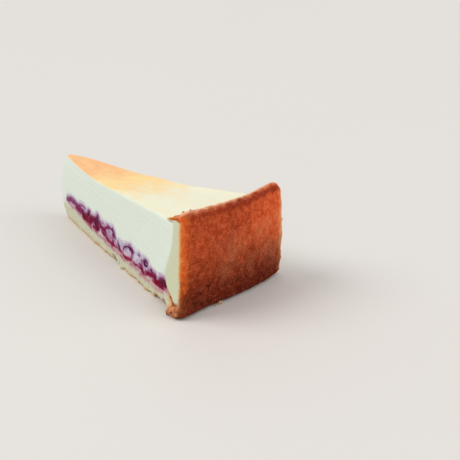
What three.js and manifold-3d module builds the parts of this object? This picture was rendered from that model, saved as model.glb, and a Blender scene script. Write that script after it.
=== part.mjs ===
// A slice of baked cranberry quark cheesecake in a shortcrust shell, as cut from a round cake.
// Millimetres, +Z up. The slice stands on its pastry base with its tip towards -X and its
// crust towards +X. The origin is the middle of its footprint, at the height it stands on.
// The long faces at -Y and +Y are the two cuts.

import * as THREE from 'three';
import { mergeVertices } from 'three/addons/utils/BufferGeometryUtils.js';
import Module from 'manifold-3d';

const wasm = await Module();
wasm.setup();

// Driving dimensions
const CAKE_RADIUS = 130;        // a cake from a 26 cm tin
const WEDGE_ANGLE = 27.6;       // degrees between the two cuts, about a thirteenth of the cake
const RIM_HEIGHT = 44.4;        // top of the crust above the table
const BASE_THICKNESS = 7;       // mean thickness of the pastry base
const BASE_LIFT = 1.3;          // how far the base hangs clear of the table next to the crust
const LIFT_START = 107;         // from this distance of the cake's centre outwards
const NOTCH_DISTANCE = 71.5;    // a crumb is missing here from the front cut's lower edge
const NOTCH_DEPTH = 1.9;
const NOSE_RADIUS = 1.5;        // rounding of the slice's tip, seen from above
const GAP = 0.3;                // clearance between neighbouring pieces

// Heights of the filling's top at the tip, where it sags most and at the crust
const TIP_HEIGHT = 34.2;
const FRONT_SAG = { distance: 45, height: 32.9 };
const BACK_SAG = { distance: 72, height: 30.9 };
const FRONT_EDGE_HEIGHT = 40.3;
const BACK_EDGE_HEIGHT = 36.6;

// Shape of the tip: it bulges at one height and leans back above and below it
const BULGE_HEIGHT = 16;
const LEAN_ABOVE = 6;
const LEAN_BELOW = 4;
const LEAN_REACH = 12;          // how fast the lean dies out towards the crust

// Berry layer: juice-soaked band on the base, with whole and cut berries along both cuts
const BAND_THICKNESS = { tip: 3.4, crust: 2.2 };
const BERRY_DEPTH = 4;          // half the size of a berry across the cut
const BERRY_INSET = 1.1;        // its middle lies this far inside the cut
const BERRY_PROUD = 0.4;        // how far cut berries stand out of the cut face
// Each berry of the front cut: distance from the cake's centre, height, half width, half height
const FRONT_BERRIES = [
  [19.5, 13.2, 5.0, 2.3],
  [29.2, 12.6, 5.6, 2.6],
  [40.3, 12.3, 5.8, 3.4],
  [51.3, 13.0, 4.4, 4.6],
  [59.2, 12.0, 4.4, 3.7],
  [67.4, 12.8, 5.2, 4.2],
  [75.5, 9.8, 2.2, 2.3],
  [84.7, 11.0, 5.4, 3.2],
  [94.2, 9.3, 2.6, 2.2],
  [102.7, 12.2, 3.6, 3.5],
  [109.4, 11.2, 3.2, 2.9],
  [116.4, 10.8, 4.2, 2.9],
];
const BACK_BERRY_COUNT = 12;

// Relief of the crust's outer face
const BELLY = 0.5;              // swells out at mid-height
const FRONT_FLARE = 0.9;        // leans out towards the front cut
const SWELL = 0.4;              // broad unevenness
const GRAIN = 0.32;             // coarse grains of the browned pastry
const WORN_EDGE = 0.7;          // rounding of its two cut edges
const KNIFE_WAVE = 0.22;        // waves that the knife leaves in the cut faces

// How finely the pieces are divided
const COLUMNS = 32;             // tip to crust
const ROWS = 5;                 // front cut to back cut
const QUARK_LAYERS = 5;
const BASE_LAYERS = 3;
const WALL_COLUMNS = 36;        // along the crust
const WALL_COURSES = 18;        // up the crust's outer face

const HALF_ANGLE = THREE.MathUtils.degToRad(WEDGE_ANGLE / 2);
const NOSE_CENTRE = NOSE_RADIUS / Math.sin(HALF_ANGLE);
const NOSE_TIP = NOSE_CENTRE - NOSE_RADIUS;
const NOSE_FLAT = 0.35;         // the tip is squared off this far behind the full round
const CAKE_CENTRE_X = -(CAKE_RADIUS + NOSE_TIP) / 2;

const { lerp, smoothstep } = THREE.MathUtils;

// Repeatable noise

function lattice(i, j, k) {
  const value = Math.sin(i * 127.1 + j * 311.7 + k * 74.7) * 43758.5453;
  return 2 * (value - Math.floor(value)) - 1;
}

// Smooth noise from -1 to 1 that changes over about one unit
function noise(x, y, z) {
  const cell = [Math.floor(x), Math.floor(y), Math.floor(z)];
  const ease = [x, y, z].map((value, axis) => smoothstep(value - cell[axis], 0, 1));
  let total = 0;
  for (let corner = 0; corner < 8; corner++) {
    const step = [corner & 1, (corner >> 1) & 1, (corner >> 2) & 1];
    const weights = step.map((far, axis) => (far ? ease[axis] : 1 - ease[axis]));
    const value = lattice(cell[0] + step[0], cell[1] + step[1], cell[2] + step[2]);
    total += value * weights[0] * weights[1] * weights[2];
  }
  return total;
}

function seededRandom(seed) {
  let state = seed;
  return () => {
    state = (state * 1664525 + 1013904223) % 4294967296;
    return state / 4294967296;
  };
}

// Plan of the slice, with distances measured from the cake's centre

function halfWidth(distance) {
  const tangent = NOSE_CENTRE - NOSE_RADIUS * Math.sin(HALF_ANGLE);
  if (distance >= tangent) return distance * Math.tan(HALF_ANGLE);
  return Math.sqrt(NOSE_RADIUS ** 2 - (distance - NOSE_CENTRE) ** 2);
}

function noseLean(height) {
  if (height > BULGE_HEIGHT) {
    return LEAN_ABOVE * ((height - BULGE_HEIGHT) / (TIP_HEIGHT - BULGE_HEIGHT)) ** 2.5;
  }
  return LEAN_BELOW * ((BULGE_HEIGHT - height) / BULGE_HEIGHT) ** 2.5;
}

function knifeWave(distance, height) {
  return KNIFE_WAVE * noise(distance / 17, height / 30, 3.7);
}

// Point at a share of the way from tip to crust and from front cut (-1) to back cut (1)
function planPoint(along, across, height) {
  const start = NOSE_TIP + NOSE_FLAT;
  const end = CAKE_RADIUS / Math.hypot(1, across * Math.tan(HALF_ANGLE));
  const distance = lerp(start, end, along ** 1.15);
  const lean = noseLean(height) * Math.exp(-(distance - start) / LEAN_REACH);
  const width = halfWidth(distance) + knifeWave(distance + 40 * across, height);
  return new THREE.Vector3(distance + lean, across * width, height);
}

// Surfaces between the layers

function baseTop(distance, across) {
  const wave = 1.3 * Math.cos((2 * Math.PI * (distance - 15)) / 120);
  return BASE_THICKNESS + wave + 0.3 * noise(distance / 9, across * 2, 11.3);
}

function bandTop(distance, across) {
  const thickness = lerp(BAND_THICKNESS.tip, BAND_THICKNESS.crust, distance / CAKE_RADIUS);
  return baseTop(distance, across) + thickness + 0.4 * noise(distance / 7, across * 3, 5.1);
}

function edgeHeight(distance, sag, crustHeight) {
  if (distance < sag.distance) {
    return lerp(TIP_HEIGHT, sag.height, smoothstep(distance, NOSE_TIP + 8, sag.distance));
  }
  const climb = (distance - sag.distance) / (CAKE_RADIUS - sag.distance);
  return lerp(sag.height, crustHeight, climb ** 1.05);
}

function quarkTop(distance, across) {
  const front = edgeHeight(distance, FRONT_SAG, FRONT_EDGE_HEIGHT);
  const back = edgeHeight(distance, BACK_SAG, BACK_EDGE_HEIGHT);
  return lerp(front, back, smoothstep(across, -1, 1)) + 0.15 * noise(distance / 8, across * 3, 8.8);
}

// Closed meshes

function cleanGeometry(positions) {
  const geometry = new THREE.BufferGeometry();
  geometry.setAttribute('position', new THREE.Float32BufferAttribute(positions, 3));
  return mergeVertices(geometry, 1e-4);
}

function addQuad(positions, a, b, c, d) {
  for (const corner of [a, b, c, a, c, d]) positions.push(corner.x, corner.y, corner.z);
}

function addSheet(positions, stepsA, stepsB, pointAt, flipped) {
  for (let i = 0; i < stepsA; i++) {
    for (let j = 0; j < stepsB; j++) {
      const corners = [[i, j], [i + 1, j], [i + 1, j + 1], [i, j + 1]];
      const [a, b, c, d] = corners.map(([p, q]) => pointAt(p / stepsA, q / stepsB));
      if (flipped) addQuad(positions, a, d, c, b);
      else addQuad(positions, a, b, c, d);
    }
  }
}

// A block whose six faces are sheets; place() gives the point at shares (along, across, up)
function blockGeometry(layers, place) {
  const positions = [];
  for (const end of [0, 1]) {
    addSheet(positions, COLUMNS, ROWS, (p, q) => place(p, q, end), end === 0);
    addSheet(positions, COLUMNS, layers, (p, q) => place(p, end, q), end === 1);
    addSheet(positions, ROWS, layers, (p, q) => place(end, p, q), end === 0);
  }
  return cleanGeometry(positions);
}

// A layer of the slice between two surfaces, its cuts moved outwards by spread
function layerGeometry(layers, bottom, top, spread = 0) {
  return blockGeometry(layers, (along, side, up) => {
    const across = 2 * side - 1;
    const flat = planPoint(along, across, 0);
    const distance = Math.hypot(flat.x, flat.y);
    const height = lerp(bottom(distance, across), top(distance, across), up);
    const point = planPoint(along, across, height);
    point.y += across * spread;
    point.x -= (1 - along) * spread;
    return point;
  });
}

function toSolid(geometry) {
  return new wasm.Manifold(new wasm.Mesh({
    numProp: 3,
    vertProperties: geometry.attributes.position.array,
    triVerts: new Uint32Array(geometry.index.array),
  }));
}

function toGeometry(solid) {
  const { vertProperties, triVerts } = solid.getMesh();
  const geometry = new THREE.BufferGeometry();
  geometry.setAttribute('position', new THREE.BufferAttribute(vertProperties, 3));
  geometry.setIndex(new THREE.BufferAttribute(triVerts, 1));
  return geometry;
}

// The largest body of a solid, without the scraps a cut may leave
function largestBody(solid) {
  const bodies = solid.decompose();
  return bodies.reduce((best, body) => (body.volume() > best.volume() ? body : best));
}

// Pastry wall: a section of the side crust, swept round the cake's centre

// Inner side of the wall from the table up to the filling's top, as [radius, height]
const WALL_INNER = [
  [124.0, 0],
  [125.4, 2.8],
  [127.0, 5.0],
  [125.0, 6.5],
  [122.4, 8.9],
  [120.4, 12],
  [119.8, 15],
  [120.6, 18.4],
  [122.2, 22],
  [124.8, 27.6],
  [126.2, 33],
];
const LIP_REACH = 122.6;        // the browned lip covers the filling's edge from here outwards
const LIP_THICKNESS = 0.7;
const CROWN_RADIUS = 127.6;     // where the rim is highest

function rimHeight(share) {
  const corner = 1.6 * smoothstep(share, 0.9, 1) + 0.5 * (1 - smoothstep(share, 0, 0.08));
  return RIM_HEIGHT + 0.7 * Math.exp(-(((share - 0.82) / 0.12) ** 2)) - corner;
}

function wallTopOutline(share) {
  const fill = lerp(FRONT_EDGE_HEIGHT, BACK_EDGE_HEIGHT, smoothstep(share, 0, 1));
  const crown = rimHeight(share);
  return [
    [126.5, fill - 1.5],
    [126.4, fill + 0.2],
    [LIP_REACH, fill + 0.1],
    [LIP_REACH - 0.1, fill + LIP_THICKNESS],
    [124.8, lerp(fill, crown, 0.45)],
    [126.2, lerp(fill, crown, 0.78)],
    [CROWN_RADIUS - 0.6, crown - 0.35],
    [CROWN_RADIUS + 0.5, crown],
    [CROWN_RADIUS + 1.5, crown - 0.6],
    [CROWN_RADIUS + 2.2, crown - 1.9],
  ];
}

function wallOuterOutline(share) {
  const top = rimHeight(share) - 3.8;
  const outline = [];
  for (let course = 0; course <= WALL_COURSES; course++) {
    outline.push([CAKE_RADIUS, lerp(top, 1.4, course / WALL_COURSES)]);
  }
  outline.push([CAKE_RADIUS - 0.9, 0]);
  return outline;
}

// Browned, grainy relief of the outer face and the rim. The face bellies out a little at
// mid-height and towards the front cut, and both cut edges of it are worn round.
function crustRelief(share, height) {
  const arc = share * 2 * HALF_ANGLE * CAKE_RADIUS;
  const belly = BELLY * Math.sin((Math.PI * height) / RIM_HEIGHT) + FRONT_FLARE * (1 - share) ** 2;
  const swell = SWELL * noise(arc / 13, height / 11, 1.5);
  const grain = GRAIN * noise(arc / 2.7, height / 2.7, 7.2);
  const worn = WORN_EDGE * Math.exp(-Math.min(share, 1 - share) / 0.015);
  return belly + swell + grain - worn - 0.4;
}

// Sweeps an outline of [radius, height] points from the front cut to the back cut, and past
// both by the share overhang. shape() gives each point's final radius.
function sweptGeometry(outlineAt, shape, overhang = 0) {
  const shares = Array.from({ length: WALL_COLUMNS + 1 }, (_, column) => column / WALL_COLUMNS);
  if (overhang > 0) {
    shares.unshift(-overhang);
    shares.push(1 + overhang);
  }
  const rings = shares.map((share) => {
    const angle = HALF_ANGLE * (2 * share - 1);
    return outlineAt(share).map(([radius, height]) => {
      const moved = shape(radius, height, share);
      return new THREE.Vector3(moved * Math.cos(angle), moved * Math.sin(angle), height);
    });
  });
  const positions = [];
  const size = rings[0].length;
  for (let column = 0; column < rings.length - 1; column++) {
    for (let k = 0; k < size; k++) {
      const next = (k + 1) % size;
      addQuad(positions, rings[column][k], rings[column][next],
        rings[column + 1][next], rings[column + 1][k]);
    }
  }
  for (const [ring, flipped] of [[rings[0], false], [rings[rings.length - 1], true]]) {
    const flat = ring.map((point) => new THREE.Vector2(Math.hypot(point.x, point.y), point.z));
    for (const face of THREE.ShapeUtils.triangulateShape(flat, [])) {
      const corners = flipped ? [face[0], face[2], face[1]] : face;
      for (const k of corners) positions.push(ring[k].x, ring[k].y, ring[k].z);
    }
  }
  return cleanGeometry(positions);
}

function wallGeometry() {
  const outline = (share) => [...WALL_INNER, ...wallTopOutline(share), ...wallOuterOutline(share)];
  return sweptGeometry(outline, (radius, height, share) => {
    const outside = smoothstep(radius, CROWN_RADIUS - 1, CAKE_RADIUS - 0.5);
    return radius + outside * crustRelief(share, height);
  });
}

// Moves an open outline of [radius, height] points to its left by a distance
function offsetOutline(outline, distance) {
  return outline.map(([radius, height], k) => {
    const before = outline[Math.max(k - 1, 0)];
    const after = outline[Math.min(k + 1, outline.length - 1)];
    const rise = after[1] - before[1];
    const run = after[0] - before[0];
    const length = Math.hypot(rise, run);
    return [radius - (distance * rise) / length, height + (distance * run) / length];
  });
}

// The space that the filling and base leave free for the wall and its clearance. The offset
// is a little more than the gap, because it cuts the outline's corners short.
function wallClearance() {
  const below = -5;
  const above = RIM_HEIGHT + 15;
  const outside = CAKE_RADIUS + 10;
  const outline = (share) => {
    const inner = [...WALL_INNER, ...wallTopOutline(share).slice(0, 5)];
    const grown = offsetOutline(inner, 1.15 * GAP);
    const shell = [[LIP_REACH, above], [outside, above], [outside, below]];
    return [[grown[0][0], below], ...grown, ...shell];
  };
  return toSolid(sweptGeometry(outline, (radius) => radius, 0.08));
}

// Berries of the cranberry layer

function backBerries() {
  const random = seededRandom(41);
  const first = FRONT_BERRIES[0][0];
  const last = FRONT_BERRIES[FRONT_BERRIES.length - 1][0];
  const spacing = (last - first) / (BACK_BERRY_COUNT - 1);
  const sunk = 1.2;
  const berries = [];
  for (let k = 0; k < BACK_BERRY_COUNT; k++) {
    const distance = first + spacing * (k + 0.5 * (random() - 0.5));
    const halfHeight = 2.6 + 1.3 * random();
    const height = bandTop(distance, 1) - sunk + halfHeight;
    berries.push([distance, height, 3.4 + 2.2 * random(), halfHeight]);
  }
  return berries;
}

function berrySolid([distance, height, halfLong, halfHigh], side, grow) {
  const geometry = new THREE.SphereGeometry(1, 8, 5);
  geometry.rotateX(Math.PI / 2);
  geometry.deleteAttribute('normal');
  geometry.deleteAttribute('uv');
  geometry.scale(halfLong + grow, BERRY_DEPTH + grow, halfHigh + grow);
  geometry.translate(distance, -side * BERRY_INSET, height);
  geometry.rotateZ(side * HALF_ANGLE);
  return toSolid(mergeVertices(geometry, 1e-4));
}

function berriesSolid(grow) {
  const solids = [
    ...FRONT_BERRIES.map((berry) => berrySolid(berry, -1, grow)),
    ...backBerries().map((berry) => berrySolid(berry, 1, grow)),
  ];
  return wasm.Manifold.union(solids);
}

// The four pieces

// How far the base's lower edge is crumbled away, at a distance and on one cut
function crumbledEdge(distance, across) {
  const crumbs = 0.55 + 0.5 * noise(distance / 3.2, across * 4, 2.2);
  const offNotch = Math.abs(distance - NOTCH_DISTANCE);
  const notch = across < 0 ? NOTCH_DEPTH * smoothstep(4.2 - offNotch, 0, 1.5) : 0;
  return Math.max(0.1, crumbs) + notch;
}

// The base doesn't touch the table just inside the crust
function baseBottom(distance) {
  return BASE_LIFT * smoothstep(distance, LIFT_START, LIFT_START + 6);
}

function baseGeometry() {
  const geometry = blockGeometry(BASE_LAYERS, (along, side, up) => {
    const across = 2 * side - 1;
    const flat = planPoint(along, across, 0);
    const distance = Math.hypot(flat.x, flat.y);
    const height = lerp(baseBottom(distance), baseTop(distance, across), up);
    const point = planPoint(along, across, height);
    const crumbs = Math.max(0, 0.35 * noise(distance / 2.8, height / 2, across * 5));
    const inset = up === 0 ? crumbledEdge(distance, across) : crumbs;
    point.y -= across * Math.min(inset, Math.abs(point.y) * 0.5);
    return point;
  });
  return toGeometry(largestBody(toSolid(geometry).subtract(wallClearance())));
}

function cranberryGeometry() {
  const floor = (distance, across) => baseTop(distance, across) + GAP;
  const ceiling = (distance, across) => floor(distance, across) + 15;
  const band = toSolid(layerGeometry(1, floor, bandTop, BERRY_PROUD));
  const room = toSolid(layerGeometry(2, floor, ceiling, BERRY_PROUD));
  const layer = band.add(berriesSolid(0)).intersect(room).subtract(wallClearance());
  return toGeometry(largestBody(layer));
}

function quarkGeometry() {
  const floor = (distance, across) => bandTop(distance, across) + GAP;
  const block = toSolid(layerGeometry(QUARK_LAYERS, floor, quarkTop));
  const filling = block.subtract(berriesSolid(GAP)).subtract(wallClearance());
  return toGeometry(largestBody(filling));
}

const slice = new THREE.Group();

function addPiece(name, geometry, color, roughness) {
  const material = new THREE.MeshStandardMaterial({ color, roughness, metalness: 0 });
  const mesh = new THREE.Mesh(geometry, material);
  mesh.name = name;
  mesh.position.x = CAKE_CENTRE_X;
  slice.add(mesh);
}

addPiece('pastry_base', baseGeometry(), 0xd8cf9f, 0.85);
addPiece('cranberry_layer', cranberryGeometry(), 0x5e0f35, 0.35);
addPiece('quark_filling', quarkGeometry(), 0xf1efdc, 0.45);
addPiece('pastry_wall', wallGeometry(), 0xb35a2a, 0.8);

export default slice;
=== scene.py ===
import math
from collections import namedtuple

import bpy
import numpy as np
from mathutils import Matrix, Vector


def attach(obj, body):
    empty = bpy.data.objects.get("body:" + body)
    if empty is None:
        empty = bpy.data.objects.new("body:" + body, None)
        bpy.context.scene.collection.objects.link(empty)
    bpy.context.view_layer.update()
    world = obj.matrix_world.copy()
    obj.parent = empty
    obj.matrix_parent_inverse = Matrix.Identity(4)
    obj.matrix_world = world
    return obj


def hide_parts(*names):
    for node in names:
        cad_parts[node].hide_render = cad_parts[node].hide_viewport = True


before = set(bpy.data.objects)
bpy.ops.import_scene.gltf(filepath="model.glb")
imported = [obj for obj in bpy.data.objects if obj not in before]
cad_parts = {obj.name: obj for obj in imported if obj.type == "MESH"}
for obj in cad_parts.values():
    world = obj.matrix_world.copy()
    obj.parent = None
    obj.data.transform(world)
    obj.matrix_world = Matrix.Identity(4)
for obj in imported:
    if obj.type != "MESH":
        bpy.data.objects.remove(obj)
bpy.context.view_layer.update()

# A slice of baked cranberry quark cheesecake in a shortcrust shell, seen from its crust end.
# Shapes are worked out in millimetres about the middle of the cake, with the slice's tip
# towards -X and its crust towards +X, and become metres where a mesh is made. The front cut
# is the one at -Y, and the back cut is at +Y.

# Driving dimensions, the same as the solids have
CAKE_RADIUS = 130.0
WEDGE_ANGLE = 27.6
RIM_HEIGHT = 44.4
BASE_THICKNESS = 7.0
BASE_WAVE = (1.3, 120.0, 15.0)  # height and length of the wave in its top, and where a crest is
BASE_LIFT = 1.3
LIFT_START = 107.0
NOTCH_DISTANCE = 71.5
NOSE_RADIUS = 1.5
NOSE_FLAT = 0.35
TIP_HEIGHT = 34.2
FRONT_SAG = (45.0, 32.9)        # distance from the cake's centre, height
BACK_SAG = (72.0, 30.9)
FRONT_EDGE_HEIGHT = 40.3
BACK_EDGE_HEIGHT = 36.6
BULGE_HEIGHT = 16.0
LEAN_ABOVE = 6.0
LEAN_BELOW = 4.0
LEAN_REACH = 12.0
BAND_THICKNESS = (3.4, 2.2)     # at the tip, at the crust
KNIFE_WAVE = 0.22
BELLY = 0.5
FRONT_FLARE = 0.9
SWELL = 0.4
GRAIN = 0.32
WORN_EDGE = 0.7
LIP_REACH = 122.6
LIP_THICKNESS = 0.7
CROWN_RADIUS = 127.6

# Finer dimensions, of this script alone
BACK_RISE = (66.5, 11.5, 1.15)  # the back edge's rise before its sag: place, reach, height
NOTCH_DEPTH = 4.4
NOTCH_HALF_WIDTH = 2.6
LIP_SHARE = 0.83                # where the lip begins, as a share of the way up the wall

# Inner side of the pastry wall from the table up to the filling's top, as (radius, height)
WALL_INNER = [
    (124.0, 0), (125.4, 2.8), (127.0, 5.0), (125.0, 6.5), (122.4, 8.9), (120.4, 12),
    (119.8, 15), (120.6, 18.4), (122.2, 22), (124.8, 27.6), (126.2, 33),
]

HALF_ANGLE = math.radians(WEDGE_ANGLE / 2)
NOSE_CENTRE = NOSE_RADIUS / math.sin(HALF_ANGLE)
NOSE_TIP = NOSE_CENTRE - NOSE_RADIUS
CAKE_CENTRE_X = -(CAKE_RADIUS + NOSE_TIP) / 2
CRUST_ARC = 2 * HALF_ANGLE * CAKE_RADIUS
MM = 0.001

FRONT, BACK = -1, 1


# Blends and repeatable noise

def lerp(a, b, share):
    return a + (b - a) * share


def smooth(value, low, high):
    """0 up to low, rising smoothly to 1 at high"""
    share = np.clip((value - low) / (high - low), 0, 1)
    return share * share * (3 - 2 * share)


def fade(value, low, high):
    """1 up to low, falling smoothly to 0 at high"""
    return 1 - smooth(value, low, high)


def bell(value, width):
    """1 at zero, falling off on both sides over about width"""
    return np.exp(-(value / width) ** 2)


def lattice(i, j, k):
    value = np.sin(i * 127.1 + j * 311.7 + k * 74.7) * 43758.5453
    return 2 * (value - np.floor(value)) - 1


def noise(x, y, z):
    """Smooth noise from -1 to 1 that changes over about one unit"""
    x, y, z = np.broadcast_arrays(x, y, z)
    cells = [np.floor(value) for value in (x, y, z)]
    ease = [smooth(value - cell, 0, 1) for value, cell in zip((x, y, z), cells)]
    total = np.zeros(x.shape)
    for corner in range(8):
        step = [(corner >> axis) & 1 for axis in range(3)]
        weight = 1
        for axis in range(3):
            weight = weight * (ease[axis] if step[axis] else 1 - ease[axis])
        total += weight * lattice(*(cell + far for cell, far in zip(cells, step)))
    return total


def fractal(points, size, octaves=3, seed=0.0):
    """Noise with finer and finer parts, the coarsest about size across"""
    total = np.zeros(len(points))
    for octave in range(octaves):
        fine = 2 ** octave / size
        x, y, z = (points * fine + seed + 9.1 * octave).T
        total += noise(x, y, z) / 2 ** octave
    return total


def crumbs_noise(points, size, seed=0.0):
    """Distance to the nearest of scattered points about size apart, from 0 to about 1"""
    scaled = points / size
    cells = np.floor(scaled)
    nearest = np.full(len(points), 9.0)
    for offset in np.ndindex(3, 3, 3):
        cell = cells + np.array(offset) - 1
        jitter = np.stack([lattice(*(cell + seed + 3.7 * axis).T) for axis in range(3)], -1)
        centre = cell + 0.5 + 0.45 * jitter
        nearest = np.minimum(nearest, np.linalg.norm(scaled - centre, axis=1))
    return np.clip(nearest, 0, 1)


# Plan of the slice, with distances measured from the cake's centre

def half_width(distance):
    tangent = NOSE_CENTRE - NOSE_RADIUS * math.sin(HALF_ANGLE)
    nose = np.sqrt(np.maximum(NOSE_RADIUS ** 2 - (distance - NOSE_CENTRE) ** 2, 0))
    return np.where(distance >= tangent, distance * math.tan(HALF_ANGLE), nose)


def nose_lean(height):
    above = np.maximum(height - BULGE_HEIGHT, 0) / (TIP_HEIGHT - BULGE_HEIGHT)
    below = np.maximum(BULGE_HEIGHT - height, 0) / BULGE_HEIGHT
    return LEAN_ABOVE * above ** 2.5 + LEAN_BELOW * below ** 2.5


def knife_wave(distance, side, height):
    """How far the knife strayed from a flat cut"""
    return KNIFE_WAVE * noise((distance + 40 * side) / 17, height / 30, 3.7)


def plan_point(along, across, height, end_radius):
    """Point at a share of the way from tip to crust and from front cut (-1) to back cut (1)"""
    start = NOSE_TIP + NOSE_FLAT
    end = end_radius / np.hypot(1, across * math.tan(HALF_ANGLE))
    distance = lerp(start, end, along ** 1.15)
    lean = nose_lean(height) * np.exp(-(distance - start) / LEAN_REACH)
    half = half_width(distance) + knife_wave(distance, across, height)
    return np.stack([distance + lean, across * half, height], -1)


def inner_radius(height):
    """Radius of the pastry wall's inner side"""
    outline = WALL_INNER + [(126.45, 36.0)]
    return np.interp(height, [point[1] for point in outline], [point[0] for point in outline])


# Surfaces between the layers

def base_top(distance, across):
    rise, length, crest = BASE_WAVE
    wave = rise * np.cos(2 * math.pi * (distance - crest) / length)
    return BASE_THICKNESS + wave + 0.3 * noise(distance / 9, across * 2, 11.3)


def band_top(distance, across):
    thickness = lerp(*BAND_THICKNESS, distance / CAKE_RADIUS)
    return base_top(distance, across) + thickness + 0.4 * noise(distance / 7, across * 3, 5.1)


def edge_height(distance, sag, crust_height):
    sinking = lerp(TIP_HEIGHT, sag[1], smooth(distance, NOSE_TIP + 8, sag[0]))
    climb = np.clip((distance - sag[0]) / (CAKE_RADIUS - sag[0]), 0, 1)
    return np.where(distance < sag[0], sinking, lerp(sag[1], crust_height, climb ** 1.05))


def quark_top(distance, across):
    front = edge_height(distance, FRONT_SAG, FRONT_EDGE_HEIGHT)
    back = edge_height(distance, BACK_SAG, BACK_EDGE_HEIGHT)
    place, reach, rise = BACK_RISE
    back = back + rise * bell(distance - place, reach)
    wave = 0.15 * noise(distance / 8, across * 3, 8.8)
    return lerp(front, back, smooth(across, -1, 1)) + wave


# Meshes

class Form:
    """A closed mesh under way: its points in millimetres, its quads, and for each point the
    shares (along, side, up) of the block that it was bent from"""

    def __init__(self, points, quads, shares):
        self.points = points
        self.quads = quads
        self.along, self.side, self.up = shares

    def normals(self):
        a, b, c, d = (self.points[self.quads[:, k]] for k in range(4))
        faces = np.cross(c - a, d - b)
        total = np.zeros_like(self.points)
        for k in range(4):
            np.add.at(total, self.quads[:, k], faces)
        return total / np.maximum(np.linalg.norm(total, axis=1, keepdims=True), 1e-12)

    def soften(self, rounds):
        """Rounds the sharp edges off by moving each point towards its neighbours"""
        count = np.zeros(len(self.points))
        ends = [(self.quads[:, k], self.quads[:, (k + 1) % 4]) for k in range(4)]
        for a, b in ends:
            np.add.at(count, a, 1)
            np.add.at(count, b, 1)
        for _ in range(rounds):
            total = np.zeros_like(self.points)
            for a, b in ends:
                np.add.at(total, a, self.points[b])
                np.add.at(total, b, self.points[a])
            self.points = lerp(self.points, total / count[:, None], 0.6)

    def push(self, amount):
        """Moves each point out along its normal by an amount in millimetres"""
        self.points = self.points + self.normals() * np.asarray(amount)[:, None]

    def radius(self):
        return np.hypot(self.points[:, 0], self.points[:, 1])

    def height(self):
        return self.points[:, 2]

    def link(self, name, masks, material, node, slot):
        link_piece(name, self.points, self.quads.tolist(), masks, material, node)


def bent_block(columns, rows, layers, place):
    """A block's six faces as fine grids, bent by place(along, side, up)"""
    size = (columns + 1, rows + 1, layers + 1)
    skin = np.zeros(size, bool)
    for axis in range(3):
        ends = [slice(None)] * 3
        ends[axis] = [0, -1]
        skin[tuple(ends)] = True
    ids = np.full(size, -1)
    ids[skin] = np.arange(skin.sum())
    shares = (np.argwhere(skin) / (np.array(size) - 1)).T

    def quads(grid, flipped):
        corners = [grid[:-1, :-1], grid[1:, :-1], grid[1:, 1:], grid[:-1, 1:]]
        faces = np.stack(corners, -1).reshape(-1, 4)
        return faces[:, ::-1] if flipped else faces

    faces = [
        quads(ids[:, :, 0], True), quads(ids[:, :, -1], False),
        quads(ids[:, 0, :], False), quads(ids[:, -1, :], True),
        quads(ids[0, :, :], True), quads(ids[-1, :, :], False),
    ]
    return Form(place(*shares), np.concatenate(faces), shares)


def link_piece(name, points, faces, masks, material, node):
    """Makes a Blender object that stands for a node of the frame, from points in millimetres"""
    mesh = bpy.data.meshes.new(name)
    metres = (points + np.array([CAKE_CENTRE_X, 0, 0])) * MM
    mesh.from_pydata(metres.tolist(), [], faces)
    for mask_name, values in masks.items():
        attribute = mesh.attributes.new(mask_name, "FLOAT", "POINT")
        attribute.data.foreach_set("value", np.clip(values, 0, 1).astype(np.float32))
    mesh.shade_smooth()
    mesh.materials.append(material)
    piece = bpy.data.objects.new(name, mesh)
    bpy.context.scene.collection.objects.link(piece)
    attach(piece, "root")
    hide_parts(node)


# Cranberries cut through by the knife

class Berry(namedtuple("Berry", "side distance height half_long half_high hollow spike direction",
                       defaults=[0, 0])):
    """A berry seen in a cut face. Its place and half sizes are in millimetres along and up
    the face. Hollow is how far its flesh has sunk, and spike how far it is dragged up to a
    point, in a direction in degrees."""

    def outline(self, angle):
        """Share of the half size that the berry reaches at an angle in its face"""
        reach = np.ones_like(angle)
        for lobes, depth in [(2, 0.09), (3, 0.10), (5, 0.07), (8, 0.04)]:
            phase = self.distance * lobes + self.side
            reach = reach + depth * np.sin(lobes * angle + phase)
        aside = np.angle(np.exp(1j * (angle - math.radians(self.direction))))
        return reach + self.spike * bell(aside, 0.33)

    def depth(self, distance, height):
        """How deep inside the outline a point of the face lies, in millimetres"""
        x = (distance - self.distance) / self.half_long
        y = (height - self.height) / self.half_high
        share = np.hypot(x, y) / self.outline(np.arctan2(y, x))
        return (1 - share) * min(self.half_long, self.half_high)


# Berries of the front cut: distance, height, half width, half height and hollow, and where it
# has a spike, the spike and its direction
FRONT_BERRIES = [Berry(FRONT, *row) for row in [
    (19.5, 13.2, 5.0, 2.3, 0.1),
    (29.2, 12.6, 5.6, 2.6, 0.1),
    (40.3, 12.3, 5.8, 3.4, 0.0, 0.35, 62),
    (51.3, 13.0, 4.4, 4.6, 0.0, 0.30, 74),
    (59.2, 12.0, 4.4, 3.7, 0.3),
    (67.4, 12.8, 5.2, 4.2, 0.5),
    (75.5, 9.8, 2.2, 2.3, 0.1),
    (84.7, 11.0, 5.4, 3.2, 0.7, 0.15, 40),
    (94.2, 9.3, 2.6, 2.2, 0.3),
    (102.7, 12.2, 3.6, 3.5, 0.4),
    (109.4, 11.2, 3.2, 2.9, 0.2),
    (116.4, 10.8, 4.2, 2.9, 0.1, 0.1, 30),
]]

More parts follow.
